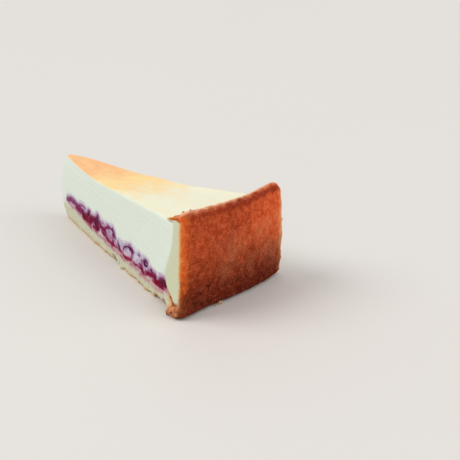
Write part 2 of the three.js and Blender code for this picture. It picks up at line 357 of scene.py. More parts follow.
# Streaks of juice, flesh and skin in the front cut. Each has a strength, from cream with a
# little juice in it up to the near black of the skins, and a redness. It runs from one
# (distance, height) to another with a half width, and may be bowed up by a height in its middle.
Streak = namedtuple("Streak", "strength redness start end half_wide bow", defaults=[0])
FRONT_STREAKS = [Streak(*row) for row in [
    (0.68, 0.2, (11, 10.8), (27, 12.2), 1.5, 1.5),
    (0.84, 0.35, (25, 11.9), (36, 10.8), 1.9, 0.5),
    (0.6, 0.1, (30, 14.2), (36.5, 14.6), 0.9),
    (1.1, 0.9, (35, 9.8), (42.8, 10.7), 2),
    (1.0, 0.25, (38.6, 11.8), (42, 14.4), 1, -0.3),
    (0.92, 0.45, (44, 12.3), (50, 12.2), 1.7),
    (1.1, 0.55, (49.2, 12.2), (51.8, 10.6), 2.2),
    (1.15, 0.2, (50.6, 12.8), (51.9, 14.7), 1.5, -0.1),
    (0.88, 0.3, (53, 13.8), (56, 13.2), 0.8),
    (0.52, 0.15, (55.5, 14.4), (59.5, 14.4), 0.8, 0.2),
    (0.88, 0.75, (46.8, 8.8), (50.4, 8.6), 1),
    (0.84, 0.45, (52, 12), (60.5, 11.3), 1.4, 0.3),
    (0.72, 0.8, (40, 8.6), (43.5, 7.2), 0.7),
    (0.78, 0.55, (56.5, 9.9), (63.5, 8.8), 1.1),
    (0.84, 0.35, (60, 12.6), (65.5, 15.2), 0.8, 0.6),
    (0.84, 0.3, (64.5, 15), (69.8, 15), 0.7, 0.2),
    (0.92, 0.1, (68.9, 15.7), (71.6, 12.6), 0.7, 0.2),
    (0.88, 0.45, (68.4, 12.4), (69.8, 8.9), 1),
    (0.78, 0.9, (63.5, 8.6), (68.5, 8.1), 1.2),
    (0.38, 0.9, (63, 6.4), (67.5, 6.5), 0.7),
    (0.42, 0.1, (62, 12), (72, 11.6), 2.2),
    (0.92, 0.1, (75, 11.2), (76.4, 9.9), 0.7),
    (0.6, 0.7, (71, 8.5), (80, 8.6), 1),
    (0.3, 0.0, (72, 11.8), (98, 12.4), 2.2),
    (0.81, 0.15, (80.3, 10.4), (85.4, 13.8), 0.35, 0.6),
    (1.0, 0.1, (85.8, 13.4), (90.3, 13.2), 0.6, 0.4),
    (0.76, 0.2, (89.8, 12.9), (88.9, 10.2), 0.4, 0.2),
    (0.78, 0.8, (80.8, 7.4), (84.5, 7.4), 0.9),
    (0.76, 0.9, (83.5, 7.6), (88.4, 9), 0.9, -0.2),
    (0.42, 0.8, (83, 6.3), (85.5, 6.2), 0.6),
    (0.7, 0.65, (90.5, 8.2), (97, 8.3), 0.7),
    (0.8, 0.3, (98.4, 12.2), (99.4, 10), 0.6),
    (0.92, 0.5, (97.8, 9.4), (99.8, 7.5), 1),
    (0.82, 0.0, (95.9, 14), (96.7, 13.9), 0.2),
    (0.81, 0.0, (100.5, 12.6), (104.6, 13.2), 0.45, 1.4),
    (0.86, 0.0, (100.5, 12.6), (104.3, 12.8), 0.45, -1.1),
    (0.56, 0.0, (101.4, 12.8), (103.6, 13.1), 0.9),
    (0.66, 0.55, (100, 7.4), (103.5, 8.4), 0.9),
    (0.44, 0.85, (97, 5.6), (106, 6), 0.9),
    (0.92, 0.8, (103.8, 9), (111.5, 9.9), 1, 0.6),
    (0.88, 0.05, (107.3, 12.2), (108.4, 11.8), 0.4),
    (0.78, 0.3, (108, 11), (112, 11), 0.7, 0.3),
    (0.7, 1.0, (109.5, 8), (113, 7.4), 0.9),
    (1.05, 1.0, (112.8, 8.6), (117.6, 8.9), 1.5),
    (1.1, 0.4, (116.6, 10.4), (120.6, 11), 1.5, 0.2),
    (0.86, 0.1, (116.4, 12.2), (120, 12.4), 0.4, 0.2),
    (0.4, 0.9, (109, 5.4), (118, 6), 0.8),
]]


def seeded_random(seed):
    state = seed
    while True:
        state = (state * 1664525 + 1013904223) % 4294967296
        yield state / 4294967296


def make_back_berries(count=12):
    """Berries of the back cut, spread like those of the front, and the front berry that each
    of them looks like"""
    random = seeded_random(41)
    first = FRONT_BERRIES[0].distance
    spacing = (FRONT_BERRIES[-1].distance - first) / (count - 1)
    sunk = 1.2
    berries, models = [], []
    for k in range(count):
        distance = first + spacing * (k + 0.5 * (next(random) - 0.5))
        half_high = 2.6 + 1.3 * next(random)
        height = float(band_top(np.array(distance), 1.0)) - sunk + half_high
        half_long = 3.4 + 2.2 * next(random)
        model = FRONT_BERRIES[(5 * k + 3) % len(FRONT_BERRIES)]
        berries.append(Berry(BACK, distance, height, half_long, half_high, *model[5:]))
        models.append(model)
    return berries, models


BACK_BERRIES, BACK_MODELS = make_back_berries()


def make_back_streaks():
    """Streaks of the back cut: round each berry, those of the front berry that it looks
    like, every second time the other way round"""
    streaks = []
    for k, (berry, model) in enumerate(zip(BACK_BERRIES, BACK_MODELS)):
        turn = (-1) ** k
        for streak in FRONT_STREAKS:
            middle = (streak.start[0] + streak.end[0]) / 2
            nearest = min(FRONT_BERRIES, key=lambda other: abs(other.distance - middle))
            if nearest is model:
                ends = []
                for along, height in (streak.start, streak.end):
                    moved = berry.distance + turn * (along - model.distance)
                    above = height - base_top(along, FRONT)
                    ends.append((moved, float(above + base_top(moved, BACK))))
                streaks.append(streak._replace(start=ends[0], end=ends[1]))
    return streaks


BACK_STREAKS = make_back_streaks()
FACES = ((FRONT, FRONT_BERRIES, FRONT_STREAKS), (BACK, BACK_BERRIES, BACK_STREAKS))


def streak_line(streak, share):
    """Points along a streak's middle line"""
    start, end = streak.start, streak.end
    bowed = streak.bow * (1 - (2 * share - 1) ** 2)
    return lerp(start[0], end[0], share), lerp(start[1], end[1], share) + bowed


def streak_gap(streak, radius, height, pieces=6):
    """Distance of points from a streak's edge, negative inside it"""
    line_r, line_z = streak_line(streak, np.linspace(0, 1, pieces + 1))
    nearest = np.full(len(radius), 99.0)
    for r, z, step_r, step_z in zip(line_r, line_z, np.diff(line_r), np.diff(line_z)):
        share = (radius - r) * step_r + (height - z) * step_z
        share = np.clip(share / (step_r ** 2 + step_z ** 2), 0, 1)
        gap = np.hypot(radius - r - share * step_r, height - z - share * step_z)
        nearest = np.minimum(nearest, gap)
    return nearest - streak.half_wide


def juice_on(side, streaks, radius, height):
    """How much juice shows on one cut face, and how red it is. Below the layer it has soaked
    into the pastry, and round the streaks it fades out into the cream."""
    spots = np.stack([radius, height, np.full(len(radius), 20.0 * side)], -1)
    radius = radius + 0.45 * fractal(spots, 3.4, 2, 3.0)
    height = height + 0.35 * fractal(spots, 3.0, 2, 8.0)
    above = height - base_top(radius, side)
    patchy = 0.85 + 0.3 * noise(radius / 5.0, 5.0 * side, 2.2)
    started = smooth(radius, 9.5, 13.5)
    above_stain = above - 1.4 * fade(radius, 26, 38) - 0.5
    spread = lerp(1.9, 2.4, smooth(above_stain, -1, 0))
    juice = 0.47 * patchy * bell(above_stain, spread)
    redness = lerp(0.75, 0.1, smooth(above, 1.5, 4))
    reach = lerp(1.2, 1.9, smooth(above, 1, 5))
    for streak in streaks:
        gap = streak_gap(streak, radius, height)
        soft = lerp(1.0, 0.35, smooth(streak.strength, 0.3, 0.8)) + 0.20 * streak.half_wide
        core = streak.strength * fade(gap, -soft, 1.5 * soft)
        halo = 0.60 * streak.strength * np.exp(-(np.maximum(gap, 0) / reach) ** 1.3)
        amount = np.maximum(core, halo)
        around = lerp(0.8, 0.4 * streak.redness, smooth(above, 0, 3))
        tint = np.where(core > halo, streak.redness, around)
        blend = smooth(amount - juice, -0.06, 0.06)
        redness = lerp(redness, tint, blend)
        juice = lerp(juice, np.maximum(juice, amount), blend)
    mottled = 0.13 * fractal(spots, 1.5, 2, 5.0) * smooth(juice, 0.15, 0.5)
    return {"juice": (juice + mottled) * started, "red": redness}


def juice_masks(form):
    """The cranberry colours on both cut faces of a form"""
    masks = {}
    for side, _, streaks in FACES:
        mine = form.side == (side + 1) / 2
        painted = juice_on(side, streaks, form.radius()[mine], form.height()[mine])
        for mask_name, values in painted.items():
            masks.setdefault(mask_name, np.zeros(len(form.points)))[mine] = values
    return masks


def berry_depth(form):
    """How deep each cut-face point of a form lies inside a berry, in millimetres"""
    depth = np.zeros(len(form.points))
    for side, berries, _ in FACES:
        mine = np.abs(form.side - (side + 1) / 2) < 0.02
        for berry in berries:
            inwards = berry.depth(form.radius()[mine], form.height()[mine])
            depth[mine] = np.maximum(depth[mine], inwards)
    return depth


def face_place(side, radius, height, out):
    """Points on a cut face, raised from it by out"""
    face_normal = np.array([-math.sin(HALF_ANGLE), side * math.cos(HALF_ANGLE), 0])
    face_line = np.array([math.cos(HALF_ANGLE), side * math.sin(HALF_ANGLE), 0])
    out = out + knife_wave(radius * math.cos(HALF_ANGLE), side, height)
    return (radius[..., None] * face_line + out[..., None] * face_normal
            + height[..., None] * np.array([0, 0, 1.0]))


def berry_surface(berry, rings, turns):
    """One cut berry as rings of points, innermost first: places along and up the face and
    out of it. Past the rim the rings close behind it, inside the slice."""
    back_rings = 6
    angle = np.linspace(0, 2 * math.pi, turns, endpoint=False)
    closing = np.cos(np.linspace(0, math.pi / 2, back_rings + 1)[1:-1])
    shares = np.concatenate([np.linspace(0, 1, rings + 1)[1:], closing])
    share, turn = np.meshgrid(shares, angle, indexing="ij")
    in_face = (np.arange(len(shares)) < rings)[:, None]
    reach = berry.outline(turn)
    x = berry.half_long * share * reach * np.cos(turn)
    y = berry.half_high * share * reach * np.sin(turn)
    spots = np.stack([(x + berry.distance).ravel(), (y + berry.height).ravel(),
                      np.full(x.size, 3.0 * berry.side)], -1)
    lumps = fractal(spots, 1.8, 3, 2.0).reshape(x.shape)
    crumple = fractal(spots, 0.8, 2, 6.0).reshape(x.shape)
    sunk = (0.1 + berry.hollow) * fade(share, 0.3, 0.85)
    edge = 0.55 * smooth(share, 0.74, 1)
    behind = -0.7 - 2.4 * np.sqrt(np.maximum(1 - share ** 2, 0))
    out = np.where(in_face, 0.20 - sunk - edge + 0.14 * lumps + 0.07 * crumple, behind)
    return berry.distance + x, berry.height + y, out


def ring_quads(ids):
    """Quads between each ring of point numbers and the next one"""
    ahead = np.roll(ids, -1, axis=1)
    return np.stack([ids[:-1], ids[1:], ahead[1:], ahead[:-1]], -1).reshape(-1, 4)


def make_berries(name, side, berries, streaks, material, rings=18, turns=72):
    """All cut berries of one face, as one piece"""
    points, faces, first = [], [], 0
    for berry in berries:
        radius, height, out = berry_surface(berry, rings, turns)
        place = face_place(side, radius, height, out)
        ends = np.array([place[0].mean(axis=0), place[-1].mean(axis=0)])
        points += [place.reshape(-1, 3), ends]
        ids = first + np.arange(radius.size).reshape(radius.shape)
        hub = np.full(turns, first + radius.size)
        sheets = [
            ring_quads(ids),
            np.stack([hub, ids[0], np.roll(ids[0], -1)], -1),
            np.stack([hub + 1, np.roll(ids[-1], -1), ids[-1]], -1),
        ]
        for sheet in sheets:
            faces += (sheet if side == FRONT else sheet[:, ::-1]).tolist()
        first += radius.size + 2
    points = np.concatenate(points)
    masks = juice_on(side, streaks, np.hypot(points[:, 0], points[:, 1]), points[:, 2])
    link_piece(name, points, faces, masks, material, "cranberry_layer")


def make_skins(name, side, streaks, material, steps=30, turns=10):
    """Skins that lie thin and bent in a cut face, along its darkest streaks, as one piece"""
    points, faces, first = [], [], 0
    share = np.linspace(0, 1, steps)[:, None]
    turn = np.linspace(0, 2 * math.pi, turns, endpoint=False)[None, :]
    for streak in streaks:
        line_r, line_z = streak_line(streak, share)
        spots = np.stack([line_r[:, 0], line_z[:, 0], np.full(steps, 5.0 * side)], -1)
        wobble = 0.3 * fractal(spots, 2.0, 3, 4.0)[:, None]
        line_r, line_z = line_r - 0.5 * wobble, line_z + wobble
        slope_r = np.gradient(line_r[:, 0])[:, None]
        slope_z = np.gradient(line_z[:, 0])[:, None]
        length = np.maximum(np.hypot(slope_r, slope_z), 1e-6)
        half_wide = 0.18 + 0.25 * streak.half_wide
        thick = half_wide * np.sqrt(np.sin(math.pi * lerp(0.03, 0.97, share)))
        thick = thick * (1 + 0.4 * fractal(spots, 0.9, 2, 7.0)[:, None])
        aside = thick * np.cos(turn)
        out = 0.06 + 0.20 * np.minimum(thick / 0.3, 1.4) * np.sin(turn)
        radius = line_r - aside * slope_z / length
        height = line_z + aside * slope_r / length
        points.append(face_place(side, radius, height, out).reshape(-1, 3))
        ids = first + np.arange(steps * turns).reshape(steps, turns)
        sheet = ring_quads(ids)[:, [0, 3, 2, 1]]    # its rings turn the other way round
        faces += (sheet if side == FRONT else sheet[:, ::-1]).tolist()
        caps = [ids[0][::-1], ids[-1]]
        faces += [(cap if side == FRONT else cap[::-1]).tolist() for cap in caps]
        first += steps * turns
    points = np.concatenate(points)
    link_piece(name, points, faces, {}, material, "cranberry_layer")


# Forms of the layers

def layer_form(steps, bottom, top, overlap=0.35):
    """A layer of the slice between two surfaces, reaching into the pastry wall"""
    def place(along, side, up):
        across = 2 * side - 1
        end = np.full(len(along), CAKE_RADIUS)
        for _ in range(3):
            flat = plan_point(along, across, np.full(len(along), BULGE_HEIGHT), end)
            distance = np.hypot(flat[:, 0], flat[:, 1])
            height = lerp(bottom(distance, across), top(distance, across), up)
            end = inner_radius(height) + overlap
        return plan_point(along, across, height, end)

    return bent_block(*steps, place)


def on_cut(form):
    """1 on the two cut faces and 0 elsewhere"""
    return ((form.side == 0) | (form.side == 1)).astype(float)


# Relief of the filling, in millimetres
KNIFE_SMEAR = 0.06
PIT_DEPTH = 0.2
WRINKLE_HEIGHT = 0.08
POCKET_DEPTH = 1.3              # room for the berries behind its cuts
TOASTED = (24, 104)             # distances between which the top's browning fades


def make_quark(material):
    form = layer_form((300, 60, 66), lambda d, a: band_top(d, a) - 0.3, quark_top)
    form.soften(2)
    cut = on_cut(form)
    top = smooth(form.up, 0.97, 1) * (1 - cut)
    points = form.points
    drawn = points * [0.07, 0.07, 0.9]
    drawn[:, 2] += 0.06 * points[:, 0]
    smear = KNIFE_SMEAR * fractal(drawn, 1.0, 3)
    pits = -PIT_DEPTH * smooth(0.13 - crumbs_noise(points, 4.2, 2.0), 0, 0.06)
    wrinkles = WRINKLE_HEIGHT * fractal(points * [0.5, 0.28, 0.3], 1.3, 3, 5.0)
    form.push(cut * (smear + pits) + top * wrinkles)
    pocket = POCKET_DEPTH * smooth(berry_depth(form), 0.6, 1.4)
    form.points[:, 1] -= np.sign(form.points[:, 1]) * cut * pocket
    patches = 0.35 * fractal(points * [1, 1, 0], 16.0, 3, 3.0)
    masks = juice_masks(form)
    masks["top"] = top
    masks["browned"] = top * (1.12 - smooth(form.radius() + 24 * patches, *TOASTED) ** 0.9)
    form.link("quark", masks, material, "quark_filling", "quark")


def make_band(material):
    form = layer_form((300, 12, 14), lambda d, a: base_top(d, a) - 0.2,
                      lambda d, a: band_top(d, a) + 0.1, overlap=0.1)
    form.soften(2)
    lumps = 0.08 + 0.16 * fractal(form.points, 2.2, 3, 1.0)
    form.push(on_cut(form) * (lumps - 0.9 * smooth(berry_depth(form), 0.3, 1.0)))
    form.link("cranberry_band", juice_masks(form), material, "cranberry_layer", "cranberry")


def base_bottom(distance):
    return BASE_LIFT * smooth(distance, LIFT_START, LIFT_START + 6)


# How far the base's lower edge moves at the front cut next to the crust, in millimetres
SQUEEZED_OUT = 1.5
LIFTED_UP = 1.3


def make_base(material):
    form = layer_form((300, 40, 22), lambda d, a: base_bottom(d), base_top)
    form.soften(2)
    cut = on_cut(form)
    across = 2 * form.side - 1
    radius = form.radius()
    low = form.height() - base_bottom(radius)
    points = form.points
    crumble = 0.14 * (0.5 - crumbs_noise(points, 1.2, 1.0))
    form.push(cut * (crumble + 0.12 * fractal(points, 1.1, 3, 3.0)))
    scallops = noise(radius / 3.4, 4.0 * across, 2.2) + 0.6 * noise(radius / 1.5, across, 5.2)
    scallops *= 0.75 + 0.7 * noise(radius / 9.0, across, 8.4)
    rough = 0.35 + 0.65 * smooth(radius, 40, 75)
    ragged = 0.4 + rough * (0.3 + 1.4 * scallops) - 0.6 * smooth(radius, 72, 76)
    off_notch = np.abs(radius - NOTCH_DISTANCE + 0.8 * (low - 1))
    notch = (across < 0) * NOTCH_DEPTH * smooth(NOTCH_HALF_WIDTH - off_notch, 0, 1.0)
    inset = np.maximum(-0.6, ragged) * fade(low, 0, 2.4)
    inset += notch * fade(low, 1.4, 3.6)
    span = np.maximum(np.abs(form.points[:, 1]), 0.1)
    form.points[:, 1] *= 1 - np.minimum(inset / span, 0.5) * smooth(abs(across), 0.4, 1)
    squeezed = smooth(radius, 119, 124.5) * fade(form.height(), 1.5, 5.5)
    form.points[:, 1] += SQUEEZED_OUT * across * squeezed * (across < 0)
    lifted = smooth(radius, 108, 118) * smooth(-across, 0.6, 1)
    form.points[:, 2] += LIFTED_UP * lifted * fade(low, 0, 3.6)
    form.points[:, 2] = np.maximum(form.points[:, 2], 0.02)
    masks = juice_masks(form)
    lower = fade(low + 0.9 * fractal(points, 3.0, 2, 2.0), 0.2, 2.0)
    height = form.height()
    from_wall = np.maximum(inner_radius(height) - radius - 0.5, 0)
    seam = 0.9 * bell(from_wall, lerp(2.6, 1.6, smooth(height, 4, 8))) * fade(height, 7, 10)
    masks["browned"] = np.maximum(lower, seam)
    form.link("pastry_crumb", masks, material, "pastry_base", "pastry")


# Pastry wall

def rim_height(share):
    corner = 1.4 * smooth(share, 0.9, 1) + 0.9 * fade(share, 0, 0.08)
    return RIM_HEIGHT + 0.7 * bell(share - 0.82, 0.12) - corner


def follow(stations, share):
    """Point on a line of stations, each a (share, radius, height)"""
    radius = stations[0][1] + 0 * share
    height = stations[0][2] + 0 * share
    for before, after in zip(stations, stations[1:]):
        part = np.clip((share - before[0]) / (after[0] - before[0]), 0, 1)
        radius = radius + part * (after[1] - before[1])
        height = height + part * (after[2] - before[2])
    return radius, height


def wall_lines(share):
    """Inner and outer outline of the wall, as stations that share their steps. Towards the
    front cut the crown is worn back and a thin flap reaches over the cream."""
    fill = lerp(FRONT_EDGE_HEIGHT, BACK_EDGE_HEIGHT, smooth(share, 0, 1))
    crown = rim_height(share)
    worn = np.exp(-share * CRUST_ARC / 3.0)
    flap = LIP_REACH - 1.6 * worn
    straight = 33.0
    inner = [(0.70 * height / straight, radius, height) for radius, height in WALL_INNER]
    outer = [(0, 129.1, 0), (0.03, 130.0, 1.4), (0.70, 130.0, straight)]
    inner += [
        (0.76, 126.5, fill - 1.5), (0.79, 126.4, fill + 0.05),
        (LIP_SHARE, flap, fill + 0.1 - 0.7 * worn),
        (0.85, flap - 0.1, fill + LIP_THICKNESS - 0.7 * worn),
        (0.91, 124.8 + 0.8 * worn, lerp(fill, crown, 0.45 - 0.1 * worn)),
        (0.96, 126.2 + 1.2 * worn, lerp(fill, crown, 0.78 - 0.1 * worn)),
        (1.0, CROWN_RADIUS - 0.6 + 1.2 * worn, crown - 0.35),
    ]
    outer += [
        (0.76, 130.0, fill - 1.5), (0.79, 130.0, fill - 0.4 + 0.7 * worn),
        (LIP_SHARE, 130.0, fill + 0.4 + 1.3 * worn), (0.85, 130.0, fill + 0.9 + 1.1 * worn),
        (0.91, 130.0, lerp(fill, crown, 0.5 + 0.2 * worn)),
        (0.96, 129.9, crown - 2.0), (1.0, CROWN_RADIUS + 1.3, crown - 0.5),
    ]
    return inner, outer


def crust_relief(share, height):
    arc = share * CRUST_ARC
    belly = BELLY * np.sin(math.pi * height / RIM_HEIGHT) + FRONT_FLARE * (1 - share) ** 2
    swell = SWELL * noise(arc / 13, height / 11, 1.5)
    grain = GRAIN * noise(arc / 2.7, height / 2.7, 7.2)
    worn = WORN_EDGE * np.exp(-np.minimum(share, 1 - share) / 0.015)
    return belly + swell + grain - worn - 0.4


def place_wall(along, side, up):
    """Here side runs from the front cut to the back cut, and along from inside to outside"""
    inner, outer = wall_lines(side)
    inner_r, inner_z = follow(inner, up)
    outer_r, outer_z = follow(outer, up)
    radius = lerp(inner_r, outer_r, along)
    height = lerp(inner_z, outer_z, along)
    crest = 0.35 * np.sin(math.pi * along) * smooth(up, 0.97, 1)
    outside = smooth(radius, CROWN_RADIUS - 1, CAKE_RADIUS - 0.5)
    radius = radius + outside * crust_relief(side, height)
    angle = HALF_ANGLE * (2 * side - 1)
    return np.stack([radius * np.cos(angle), radius * np.sin(angle), height + crest], -1)


# How far dough moves at the wall's edges, in millimetres
FOOT_TUCK = 1.1
TOE_OUT = 1.9
TOE_ASIDE = 3.0
BACK_SPREAD = 1.2


def shape_edges(form):
    """Rounds the wall's foot, squeezes dough out at its front corner, and lets its back
    edge bulge below the rim and spread at the foot"""
    height = form.height()
    arc = form.side * CRUST_ARC
    outer_share = smooth(form.along, 0.3, 1)
    tuck = fade(height, 0, 2.6) ** 1.5
    at_corner = np.exp(-arc / 2.0)
    toe = bell(arc, 11) * bell(height - 1.5, 3.6)
    form.points[:, 0] += outer_share * (1.3 * np.exp(-arc / 7) + TOE_OUT * toe - FOOT_TUCK * tuck)
    form.points[:, 0] -= outer_share * 1.2 * at_corner * toe
    squeezed = TOE_ASIDE * bell(height - 1.6, 3.2) * (1 - 0.5 * form.along ** 3)
    form.points[:, 1] -= (squeezed - 0.9 * tuck) * at_corner
    lean = np.sin(math.pi * np.clip(height / 41, 0, 1)) - 1.2 * smooth(height, 38, 44)
    spread = BACK_SPREAD * smooth(form.side, 0.3, 0.9) * fade(height, 4, 34)
    form.points[:, 0] += outer_share * spread
    foot = 0.5 * fade(height, 2, 14)
    form.points[:, 1] += (lean + foot) * np.exp((arc - CRUST_ARC) / 3.5)


def crust_masks(form, section, outer, upper):
    """Where the wall is pale dough, golden or orange, where its brown carries painted shade (towards the
    foot, partly real browning) and painted light (high up at the back, near the back edge and on the
    crown's top)
    """
    speckle = fractal(form.points, 2.2, 3, 8.0)
    broad = fractal(form.points, 11.0, 2, 4.0)
    height = form.height()
    share = form.side
    arc = share * CRUST_ARC
    from_back = CRUST_ARC - arc
    inner_line, outer_line = wall_lines(share)
    wall_width = follow(outer_line, form.up)[0] - follow(inner_line, form.up)[0]
    depth = (1 - form.along) * wall_width + 0.15 * speckle
    inside = form.along * wall_width + 0.3 * speckle
    below = rim_height(share) - height
    band = bell(below - 1.9 - 0.3 * share + 0.7 * speckle, 1.2 + 0.8 * share)
    # Painted shade towards the foot, partly real browning
    foot = fade(height + 2.5 * broad, -2, 30)
    patch = smooth(fractal(form.points, 8.0, 4, 6.0), -0.6, 1.0)
    middle = smooth(height, 3, 14) * fade(height, 24, 34)
    # Painted light: the crust is made lighter high up towards the back cut
    painted_light_upper_back = smooth(share, 0.42, 0.95) * smooth(height, 14, 32)
    mottled = 0.09 * speckle + 0.08 * broad
    # Painted shade and light in the crust's brown: darker towards the foot (painted shade, partly real
    # browning), lighter high up at the back and near the back edge (painted light), plus real mottling
    painted_shade_and_mottling = 0.44 + 0.58 * foot - 0.40 * painted_light_upper_back - 0.16 * bell(from_back, 6.0) + mottled
    corner = bell(np.maximum(arc + 0.4 * speckle, 0), 3.3) * (1 - 0.7 * foot ** 1.5)
    middle_gap = np.minimum(inside, depth + 1.0)
    low = fade(height + 0.9 * speckle + 2.1 * middle_gap, 10.8, 13.4)
    toe = low * np.exp(-arc / 2.2) * (1 - 0.75 * smooth(form.along, 0.75, 1))
    seam = bell(np.maximum(inside - 0.3, 0), 1.0) * fade(height, 9, 14)
    edge_line = np.maximum(bell(depth - 0.35, 0.65) * smooth(height, 2, 12), seam)
    corner_line = 0.45 * bell(arc, 0.7) * (1 - foot)
    # Pale golden back edge: a painted highlight along the crust's back edge, partly the pale crumb of
    # the cut seen edge-on
    pale_edge_and_highlight = bell(from_back, 2.2 + 0.8 * speckle) * lerp(0.3, 1, smooth(height, 6, 24))
    face = 1 - section
    lower = (1 - upper) * (1 - toe)
    # Painted highlight: a lighter strip on the crown's top, fading out towards the back
    near_crown = smooth(form.up, 0.978, 0.99)
    crown = near_crown * fade(form.along + 0.12 * speckle, 0.5, 1.15)
    return {
        "section": section * lower * smooth(depth, 0.25, 1.0) * (1 - 0.8 * seam),
        "gold": lower * np.maximum(section * edge_line, face * corner_line),
        "corner": np.maximum(corner * face, section) * (1 - toe),
        "pale_edge_and_highlight": pale_edge_and_highlight * face,
        "toe": toe,
        "painted_shade_and_mottling": painted_shade_and_mottling,
        "band": band * (0.7 + 0.4 * share - 0.4 * smooth(share, 0.88, 1)) * (1 - 0.5 * corner),
        "tan": patch * middle * smooth(share, 0.12, 0.5),
        "rim": crown * (1 - 0.4 * smooth(share, 0.7, 0.95)),
        "lip": upper * np.maximum(section, 1 - outer) * (1 - near_crown),
        "lip_tip": fade(form.radius() + 0.5 * speckle, LIP_REACH - 1, LIP_REACH + 1.6),
    }


def make_wall(material):
    form = bent_block(14, 156, 130, place_wall)
    form.soften(2)
    shape_edges(form)
    points = form.points
    section = on_cut(form)
    outer = (form.along == 1).astype(float)
    upper = (form.up > LIP_SHARE + 0.01).astype(float)
    coarse = 0.12 * fractal(points, 1.6, 3, 2.0) + 0.22 * (0.5 - crumbs_noise(points, 1.7, 7.0))
    crumb = 0.20 * (0.5 - crumbs_noise(points, 1.3, 5.0))
    ragged = section * upper * 0.35 * fractal(points, 1.2, 2, 1.0)
    at_back = (form.side == 1) * (noise(form.height() / 2.0, 3.3, 1.0)
                                 + 0.6 * noise(form.height() / 0.9, 6.1, 1.0))
    scallops = 0.6 * section * at_back * smooth(form.along, 0.5, 1)
    at_foot = fade(form.height(), 3, 6) * np.exp(-form.side * CRUST_ARC / 4)
    toe_crumbs = at_foot * (1.1 * (0.5 - crumbs_noise(points, 1.7, 4.0))
                            + 0.2 * fractal(points, 1.5, 2, 6.0))
    lip_front = upper * (1 - outer) * np.exp(-form.side * CRUST_ARC / 6)
    tears = 0.6 * lip_front * fractal(points, 1.2, 3, 9.0)
    browned = np.maximum(outer, upper)
    form.push(browned * coarse + section * crumb + ragged + scallops + tears + toe_crumbs)
    form.points[:, 2] = np.maximum(form.points[:, 2], 0.02)
    masks = crust_masks(form, section, outer, upper)
    form.link("crust_wall", masks, material, "pastry_wall", "crust")


# Crumbs: each a distance from the cake's centre, an angle from the front cut as a share of
# the wedge, a height and a half size, in millimetres
CRUMBS = [
    (131.9, 0.022, 1.9, 0.55), (129.9, 0.345, 1.2, 0.55), (130.0, 0.315, 0.8, 0.45),
    (127.0, 0.07, 43.9, 0.35), (127.2, 0.12, 44.3, 0.30),
]


def make_crumbs(material, rings=8, turns=12):
    """Loose bits of pastry, as one piece"""
    points, faces = [], []
    share = np.linspace(0, math.pi, rings + 1)[1:-1][:, None]
    turn = np.linspace(0, 2 * math.pi, turns, endpoint=False)[None, :]
    ball = np.stack([np.sin(share) * np.cos(turn), np.sin(share) * np.sin(turn),
                     np.cos(share) + 0 * turn], -1).reshape(-1, 3)
    ball = np.concatenate([ball, [[0, 0, 1], [0, 0, -1]]])
    random = seeded_random(7)
    last = len(ball) - 2
    ids = np.arange(last).reshape(rings - 1, turns)
    sheet = ring_quads(ids).tolist()
    caps = [(last, a, b) for a, b in zip(ids[0], np.roll(ids[0], -1))]
    caps += [(last + 1, b, a) for a, b in zip(ids[-1], np.roll(ids[-1], -1))]
    for k, (distance, share_round, height, half) in enumerate(CRUMBS):
        angle = HALF_ANGLE * (2 * share_round - 1)
        middle = np.array([distance * math.cos(angle), distance * math.sin(angle),
                           max(height, half * 0.8)])
        lumps = 1 + 0.45 * fractal(ball + 7.0 * k, 0.9, 3, 3.0)[:, None]
        stretch = [0.7 + 0.7 * next(random) for axis in range(3)]
        points.append(middle + half * lumps * ball * stretch)
        start = k * len(ball)
        faces += [[start + corner for corner in face] for face in sheet + caps]
    link_piece("crumbs", np.concatenate(points), faces, {}, material, "pastry_wall")


# Materials

def colour(red, green, blue):
    """A colour given as it shows on a screen, 0 to 255, in the linear values that shaders use"""
    shares = [value / 255 for value in (red, green, blue)]
    linear = [s / 12.92 if s <= 0.04045 else ((s + 0.055) / 1.055) ** 2.4 for s in shares]
    return (*linear, 1.0)


